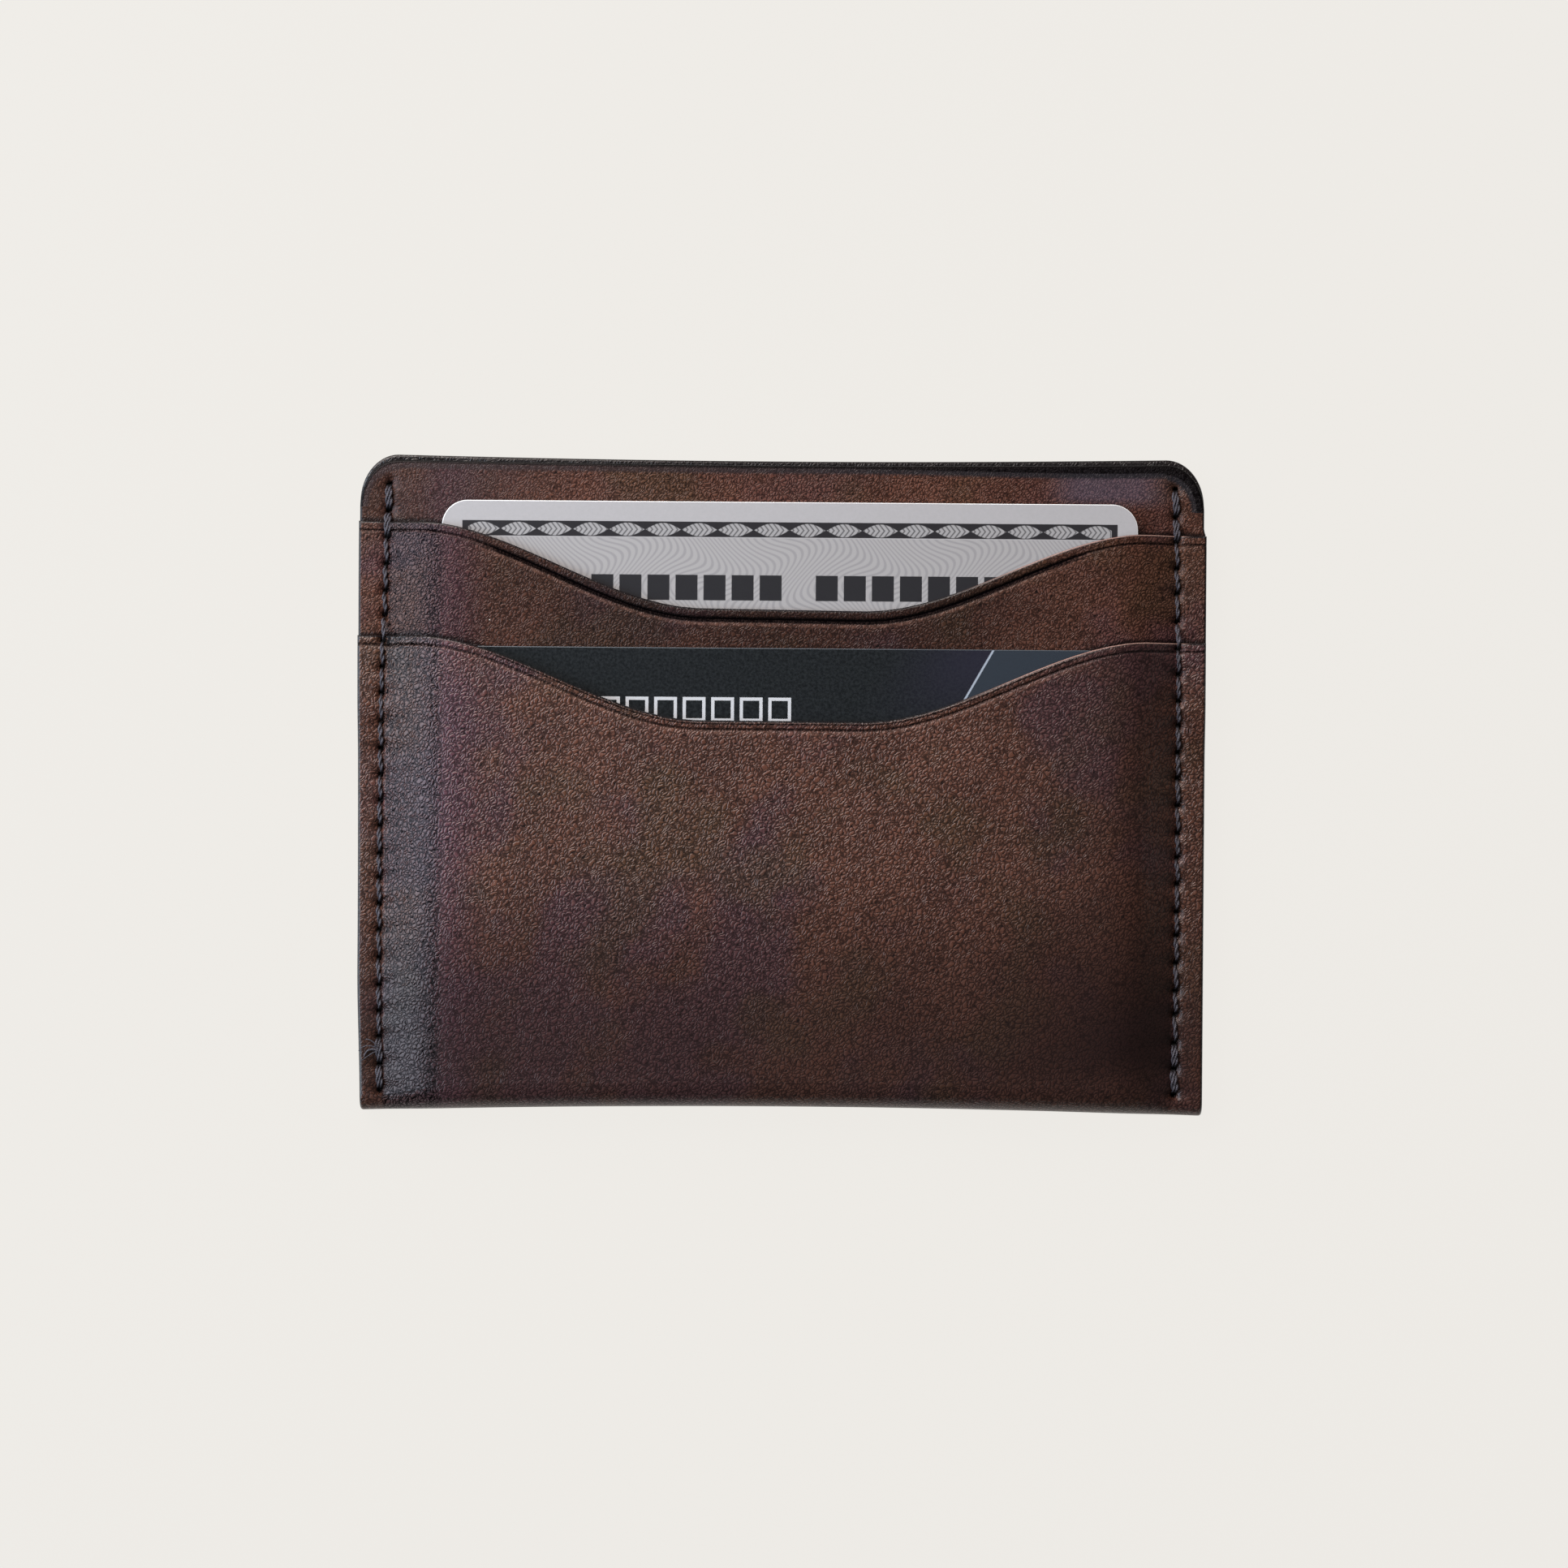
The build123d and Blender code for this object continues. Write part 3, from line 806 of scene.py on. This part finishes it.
def sew(name, ends):
    """Copies of the one stitch, each laid between two points, joined into one thread."""
    copies = []
    for start, end, wide, slant in ends:
        copy = pattern.copy()
        copy.data = pattern.data.copy()
        bpy.context.collection.objects.link(copy)
        start, end = Vector(start), Vector(end)
        run = end - start
        places = np.array([v.co for v in copy.data.vertices])
        t = places[:, 1]  # -0.5 to 0.5 along the stitch
        narrow = wide * (1 - 0.35 * np.abs(2 * t) ** 5)
        side = places[:, 0] * narrow + slant * np.sin(t * math.pi)
        up = places[:, 2] * narrow + PROUD - DIVE * np.abs(2 * t) ** 3.4
        along = t * (run.length - 0.1)
        forward = run.normalized()
        sideways = forward.cross(Vector((0, 0, 1))).normalized()
        upward = sideways.cross(forward)
        if start.z < SHELL_THICKNESS:  # on the back, the thread arches the other way
            upward = -upward
        middle = (start + end) / 2
        moved = (
            np.array(middle)[None, :] + along[:, None] * np.array(forward)
            + side[:, None] * np.array(sideways) + up[:, None] * np.array(upward)
        )
        copy.data.vertices.foreach_set("co", (moved * MM).ravel())
        # Marks the ends of each stitch, for painted shade where it dives into the holes
        sunk = copy.data.attributes.new("sunk", "FLOAT", "POINT")
        sunk.data.foreach_set("value", (np.abs(2 * t) ** 3).astype(np.float32))
        copies.append(copy)
    bpy.ops.object.select_all(action="DESELECT")
    for copy in copies:
        copy.select_set(True)
    bpy.context.view_layer.objects.active = copies[0]
    return joined(name, smooth=60)


def waxed_thread():
    """Charcoal thread with a purple cast, pale flecks on the strands as painted highlights, and
    painted shade at its ends.
    """
    finish = Finish("waxed_thread", Specular_IOR_Level=0.5)
    fibres = finish.mottle(finish.place(), 9, 3, 0.7)
    colour = finish.mix(shade(38, 33, 38), shade(112, 106, 116), fibres.ease(0.4, 0.74))
    # Painted shade where the thread dives into the awl's holes
    colour = finish.mix(colour, shade(8, 6, 8), finish.fact("sunk").ease(0.3, 0.75))
    relief = finish.bump(fibres, 0.05)
    finish.paint(Base_Color=colour, Roughness=0.42 + 0.25 * fibres, Normal=relief)
    return finish.material


def side_stitches(side, holes, seed):
    """Ends of every stitch of one side seam, on both faces of the wallet."""
    draw = random.Random(seed)
    ends = []
    for i, (low, high) in enumerate(zip(holes, holes[1:])):
        points = []
        for height in (low, high):
            away = side * float(seam_line(np.array([side]), np.array([height]))[0])
            points.append((away, height + FOLD_Y, surface_level(away, height)))
        wide = draw.uniform(0.84, 1.0)
        slant = -0.1 + draw.uniform(-0.06, 0.06)
        doubled = i in (0, 1, len(holes) - 3, len(holes) - 2)
        for shift in ((-DOUBLING, DOUBLING) if doubled else (0,)):
            front = [(px + shift, py, pz + abs(shift) * 0.3) for px, py, pz in points]
            ends.append((front[0], front[1], wide, slant))
        back = [(px, py, BACK_LEVEL) for px, py, pz in points]
        ends.append((back[0], back[1], wide * 0.95, -slant))
    return ends


thread_finish = waxed_thread()
seams = (("left_seam", -1, LEFT_HOLES, 21), ("right_seam", 1, RIGHT_HOLES, 22))
for name, side, holes, seed in seams:
    seam = sew(name + "_thread", side_stitches(side, holes, seed))
    seam.data.materials.append(thread_finish)
    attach(seam, "wallet")
    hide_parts(name)


def fibre(points, radius):
    """A thin round fibre along a smooth curve, from the first of four points to the last."""
    bpy.ops.object.select_all(action="DESELECT")
    bpy.ops.mesh.primitive_circle_add(vertices=6, radius=1, fill_type="NGON")
    strand = bpy.context.object
    bpy.ops.object.mode_set(mode="EDIT")
    bpy.ops.mesh.select_all(action="SELECT")
    for _ in range(FIBRE_STEPS):
        bpy.ops.mesh.extrude_region_move(TRANSFORM_OT_translate={"value": (0, 0, 1)})
    bpy.ops.object.mode_set(mode="OBJECT")
    start, near, far, end = (Vector(p) for p in points)
    for vertex in strand.data.vertices:
        t = vertex.co.z / FIBRE_STEPS
        spine = (1 - t) ** 3 * start + 3 * t * (1 - t) ** 2 * near
        spine += 3 * t * t * (1 - t) * far + t ** 3 * end
        forward = ((near - start) * (1 - t) + (end - far) * t).normalized()
        sideways = forward.cross(Vector((0, 0, 1))).normalized()
        thick = radius * (1 - 0.5 * t)
        around = sideways * vertex.co.x + sideways.cross(forward) * vertex.co.y
        vertex.co = (spine + around * thick) * MM
    return strand


# The left thread ends in a cut tail on the margin, frayed into fibres: their paths and radii
FIBRE_STEPS = 12
tail_at = Vector((-49.2, 7.3 + FOLD_Y, STACK_LOW + 0.1))
tail_paths = [
    (((0, 0, 0.1), (-0.8, 0.5, 0.45), (-1.6, 0.4, 0.4), (-1.9, -0.6, 0.15)), 0.2),
    (((0, 0.1, 0.1), (-0.7, 0.9, 0.5), (-1.9, 1.0, 0.55), (-2.6, 0.1, 0.15)), 0.11),
    (((-0.1, 0, 0.1), (-0.9, 0.1, 0.5), (-1.6, -0.8, 0.45), (-2.4, -1.2, 0.12)), 0.1),
    (((0, 0.1, 0.1), (-0.3, 0.8, 0.6), (-1.0, 1.7, 0.55), (-1.8, 1.5, 0.15)), 0.1),
]
strands = [fibre([tail_at + Vector(p) for p in path], radius) for path, radius in tail_paths]
for strand in strands:
    strand.select_set(True)
tail = joined("thread_tail", smooth=70)
tail.data.materials.append(thread_finish)
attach(tail, "wallet")

# ---- Pocket floor seam --------------------------------------------------------------------
# A hidden row of the same waxed thread. It sews the upper pocket's stem to the divider, and so
# closes the pocket below the silver card.
FLOOR_HOLES = 26
floor_low, floor_high = (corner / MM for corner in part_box("pocket_floor_seam"))
floor_y = (floor_low.y + floor_high.y) / 2
floor_places = np.linspace(floor_low.x + 0.3, floor_high.x - 0.3, FLOOR_HOLES)
floor_points = [(place, floor_y, POCKET_LEVEL) for place in floor_places]
floor_ends = [(low, high, 0.9, 0.05) for low, high in zip(floor_points, floor_points[1:])]
floor_thread = sew("pocket_floor_thread", floor_ends)
floor_thread.data.materials.append(thread_finish)
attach(floor_thread, "wallet")
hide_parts("pocket_floor_seam")
bpy.data.objects.remove(pattern)

# ---- Silver card --------------------------------------------------------------------------
# A bank card of laminated plastic, printed pale grey with an engraved-looking border and plain
# blocks in place of its lettering. Its chip lies in the front and its tape along the back.
CARD_WIDTH, CARD_HEIGHT, CARD_THICK, CARD_CORNER = 85.6, 53.98, 0.76, 3.18
CHIP_WIDTH, CHIP_HEIGHT, CHIP_THICK, CHIP_CORNER = 13.0, 11.8, 0.25, 1.6
CHIP_RIGHT, CHIP_DOWN = 15.06, 23.89  # from a card's left and top edges to the chip's middle
CHIP_PROUD = 0.015
TAPE_HEIGHT, TAPE_DOWN, TAPE_THICK, TAPE_PROUD = 10.3, 10.65, 0.08, 0.012


def rounded_plate(name, width, height, thick, corner, rim):
    """A flat plate from z = 0 up, with round corners and a small round along both rims."""
    bpy.ops.object.select_all(action="DESELECT")
    bpy.ops.mesh.primitive_cube_add(size=1, location=(0, 0, thick / 2))
    plate = bpy.context.object
    plate.name = name
    plate.scale = (width, height, thick)
    bpy.ops.object.transform_apply(location=True, rotation=False, scale=True)
    for upright, offset, segments in ((True, corner, 12), (False, rim, 2)):
        bpy.ops.object.mode_set(mode="EDIT")
        bpy.ops.mesh.select_mode(type="EDGE")
        bpy.ops.mesh.select_all(action="DESELECT")
        bpy.ops.object.mode_set(mode="OBJECT")
        points = plate.data.vertices
        for line in plate.data.edges:
            first, second = (points[i].co for i in line.vertices)
            line.select = (abs(first.z - second.z) > thick / 2) == upright
        bpy.ops.object.mode_set(mode="EDIT")
        bpy.ops.mesh.bevel(offset=offset, offset_type="OFFSET", segments=segments)
        bpy.ops.object.mode_set(mode="OBJECT")
    bpy.ops.object.shade_smooth_by_angle(angle=math.radians(20))
    return plate


def lean_into_place(plate, bottom, offset, level):
    """Moves a plate drawn on a card lying at the origin to where that card stands."""
    tilt = Matrix.Rotation(math.atan(CARD_LEAN), 4, "X")
    start = Vector((offset, bottom + FOLD_Y, level + CARD_LEAN * (bottom - POCKET_FLOOR)))
    plate.data.transform(Matrix.Scale(MM, 4) @ Matrix.Translation(start) @ tilt)
    plate.data.update()


def card_parts(name, bottom, offset, level, card_finish):
    """A card with its contact plate and its magnetic tape, all riding together."""
    card = rounded_plate(name + "_plastic", CARD_WIDTH, CARD_HEIGHT, CARD_THICK, CARD_CORNER, 0.09)
    card.data.transform(Matrix.Translation((0, CARD_HEIGHT / 2, 0)))
    chip = rounded_plate(
        name + "_contacts", CHIP_WIDTH, CHIP_HEIGHT, CHIP_THICK, CHIP_CORNER, 0.03
    )
    chip_bottom = CARD_THICK + CHIP_PROUD - CHIP_THICK
    chip_at = (CHIP_RIGHT - CARD_WIDTH / 2, CARD_HEIGHT - CHIP_DOWN, chip_bottom)
    chip.data.transform(Matrix.Translation(chip_at))
    tape = rounded_plate(name + "_tape", CARD_WIDTH - 0.02, TAPE_HEIGHT, TAPE_THICK, 0.02, 0.005)
    tape.data.transform(Matrix.Translation((0, CARD_HEIGHT - TAPE_DOWN, -TAPE_PROUD)))
    finishes = (card_finish, contact_plate(offset, bottom), magnetic_tape())
    nodes = (name, name + "_chip", name + "_stripe")
    slots = (name, "contact_plate", "stripe")
    for plate, finish, node, slot in zip((card, chip, tape), finishes, nodes, slots):
        lean_into_place(plate, bottom, offset, level)
        plate.data.materials.append(finish)
        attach(plate, name)
        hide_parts(node)


def contact_plate(offset, bottom):
    """Gold plate cut into contacts by fine lines, lightly scratched by readers."""
    finish = Finish("contacts", Metallic=1.0)
    middle_x = offset + CHIP_RIGHT - CARD_WIDTH / 2
    middle_y = bottom + FOLD_Y + CARD_HEIGHT - CHIP_DOWN
    x, y, _ = finish.split(finish.place((-middle_x * MM, -middle_y * MM, 0)))
    lines = abs(abs(x) - 2.6).ease(0.12, 0.04)
    for height in (-2.1, 0.0, 2.1):
        lines = lines + abs(y - height).ease(0.12, 0.04) * abs(x).ease(2.5, 2.7)
    lines = lines.ease(0, 1)
    wear_and_shade = finish.mottle(finish.stretched(finish.place(), (8, 0.5, 1)), 1.0, 3)
    colour = finish.mix(shade(214, 178, 104), shade(236, 208, 142), wear_and_shade)
    colour = finish.mix(colour, shade(70, 52, 26), lines)
    relief = finish.bump(1 - lines, 0.03)
    finish.paint(Base_Color=colour, Roughness=0.22 + 0.2 * wear_and_shade, Normal=relief)
    return finish.material


def magnetic_tape():
    """Near-black glossy tape with hairline scratches along its length."""
    finish = Finish("tape", Specular_IOR_Level=0.5)
    hairs = finish.mottle(finish.stretched(finish.place(), (0.15, 9, 1)), 1.2, 3, 0.6)
    colour = finish.mix(shade(26, 24, 24), shade(52, 48, 46), hairs.ease(0.5, 0.75))
    finish.paint(Base_Color=colour, Roughness=0.2 + 0.25 * hairs)
    return finish.material


def printed_place(finish, offset, bottom):
    """Millimetres right of a card's middle, and down from its top edge."""
    corner = (-offset * MM, -(bottom + FOLD_Y + CARD_HEIGHT) * MM, 0)
    x, y, _ = finish.split(finish.place(corner))
    return x, 0 - y


def card_sides(finish):
    """How far a point is on a card's front, on its back, and on either instead of an edge."""
    facing = finish.split(finish.node("ShaderNodeNewGeometry", output="Normal"))[2]
    return facing.ease(0.3, 0.6), facing.ease(-0.3, -0.6), abs(facing).ease(0.93, 0.99)


def wave(along, length):
    """-1 to 1 and back, once to each length."""
    turned = along * (2 * math.pi / length)
    return turned.maths("SINE", turned)


def back_print(x, down):
    """The signing strip on a card's back, and lines of small print as plain bars."""
    strip = abs(down - 22).ease(4.6, 4.5) * abs(x + 8).ease(30, 29.9)
    small = wave(down, 2.0).ease(0.5, 0.6) * abs(down - 40).ease(9.1, 9.0) * abs(x).ease(36, 35.9)
    return strip, small * 0.7


def silver_print():
    """Pale satin card stock with a dark border, wavy security lines and a row of blocks."""
    finish = Finish("silver_card", Specular_IOR_Level=0.45)
    x, down = printed_place(finish, SILVER_OFFSET, SILVER_BOTTOM)
    front, back, flat = card_sides(finish)
    paper = finish.mottle(finish.place(), 2.5, 3, 0.6)
    ink, pale = shade(40, 38, 41), shade(166, 163, 163)
    colour = finish.mix(shade(174, 171, 171), shade(184, 180, 181), paper)

    # Fine security lines: a fan of wavy strokes over the field inside the border
    swirl = wave(down + wave(x, 21) * 1.6, 9.5) * 2.2
    strokes = wave(x + swirl, 0.85).ease(-0.2, 0.9)
    gap = x.maths("MINIMUM", CARD_WIDTH / 2 - abs(x), down)
    field = gap.ease(4.45, 4.55)
    colour = finish.mix(colour, shade(170, 166, 165), field * front * 0.8)
    colour = finish.mix(colour, shade(148, 145, 146), strokes * field * front * 0.7)

    # Border: a dark band with a chain of hatched lens shapes
    band = abs(gap - 3.45).ease(0.97, 0.9)
    lens = (abs(wave(x, 8.9)) * 0.85 - abs(gap - 3.5)).ease(0.0, 0.1)
    hatch = wave(x + abs(gap - 3.5) * 0.8, 0.62).ease(-1.0, 0.1) * 0.7 + 0.3
    colour = finish.mix(colour, ink, band * front)
    colour = finish.mix(colour, pale, lens * hatch * band * front)

    # Lettering replaced by a row of plain blocks
    block = abs(wave(x + 0.6, 6.9)).ease(0.3, 0.36) * abs(down - 10.6).ease(1.6, 1.52)
    row = abs(x - 1.125).ease(25.9, 25.8) * abs(x - 1.125).ease(1.65, 1.72)
    colour = finish.mix(colour, shade(40, 39, 42), block * row * front)

    strip, small = back_print(x, down)
    colour = finish.mix(colour, shade(238, 237, 230), strip * back)
    colour = finish.mix(colour, shade(120, 120, 124), small * back)
    # A painted highlight: the edges are paler than the faces
    colour = finish.mix(shade(246, 245, 244), colour, flat)
    relief = finish.bump(paper, PRINT_RELIEF)
    finish.paint(Base_Color=colour, Roughness=0.3 + 0.1 * paper, Normal=relief)
    return finish.material


PRINT_RELIEF = 0.004
SILVER_BOTTOM, SILVER_OFFSET, SILVER_LEVEL = 21.3, 0.8, 2.45
card_parts("silver_card", SILVER_BOTTOM, SILVER_OFFSET, SILVER_LEVEL, silver_print())

# ---- Dark card ----------------------------------------------------------------------------
# A blue-black card of the same size with a paler slate corner beyond a thin slanted line, and
# a row of outlined boxes in place of its name.
DARK_BOTTOM, DARK_OFFSET, DARK_LEVEL = 3.3, 0.0, 4.41


def dark_print():
    """Blue-black satin card stock, with its slate corner and its row of boxes."""
    finish = Finish("dark_card", Specular_IOR_Level=0.26)
    x, down = printed_place(finish, DARK_OFFSET, DARK_BOTTOM)
    front, back, flat = card_sides(finish)
    weave = finish.mottle(finish.place(), 3.0, 3, 0.7)
    colour = finish.mix(shade(19, 22, 24), shade(38, 41, 43), weave.ease(0.3, 0.7))

    # Slate corner beyond the slanted line, and a violet cast beside it
    beyond = x - (25.9 - down * 0.57)
    violet = beyond.ease(-14, 0) * down.ease(12, 1) * 0.7
    slate = beyond.ease(-0.05, 0.05) * (0.75 + 0.25 * weave)
    colour = finish.mix(colour, shade(44, 42, 56), violet * front)
    colour = finish.mix(colour, shade(52, 59, 67), slate * front)
    colour = finish.mix(colour, shade(176, 184, 196), abs(beyond).ease(0.2, 0.08) * front * 0.9)

    # A row of outlined boxes, each as wide as it is tall
    from_middle = x + 10.8
    across = x.maths("PINGPONG", from_middle, 1.75)
    low = abs(down - 7.6)
    inside = across.ease(1.42, 1.38) * low.ease(1.52, 1.48)
    hollow = across.ease(1.02, 0.98) * low.ease(1.12, 1.08)
    row = abs(from_middle).ease(12.2, 12.1)
    colour = finish.mix(colour, shade(206, 206, 208), (inside - hollow) * row * front)

    strip, small = back_print(x, down)
    colour = finish.mix(colour, shade(190, 192, 194), strip * back)
    colour = finish.mix(colour, shade(110, 114, 120), small * back)
    # A painted highlight: the edges are paler than the faces
    colour = finish.mix(shade(82, 88, 94), colour, flat)
    relief = finish.bump(weave, PRINT_RELIEF)
    finish.paint(Base_Color=colour, Roughness=0.28 + 0.08 * weave, Normal=relief)
    return finish.material


card_parts("dark_card", DARK_BOTTOM, DARK_OFFSET, DARK_LEVEL, dark_print())
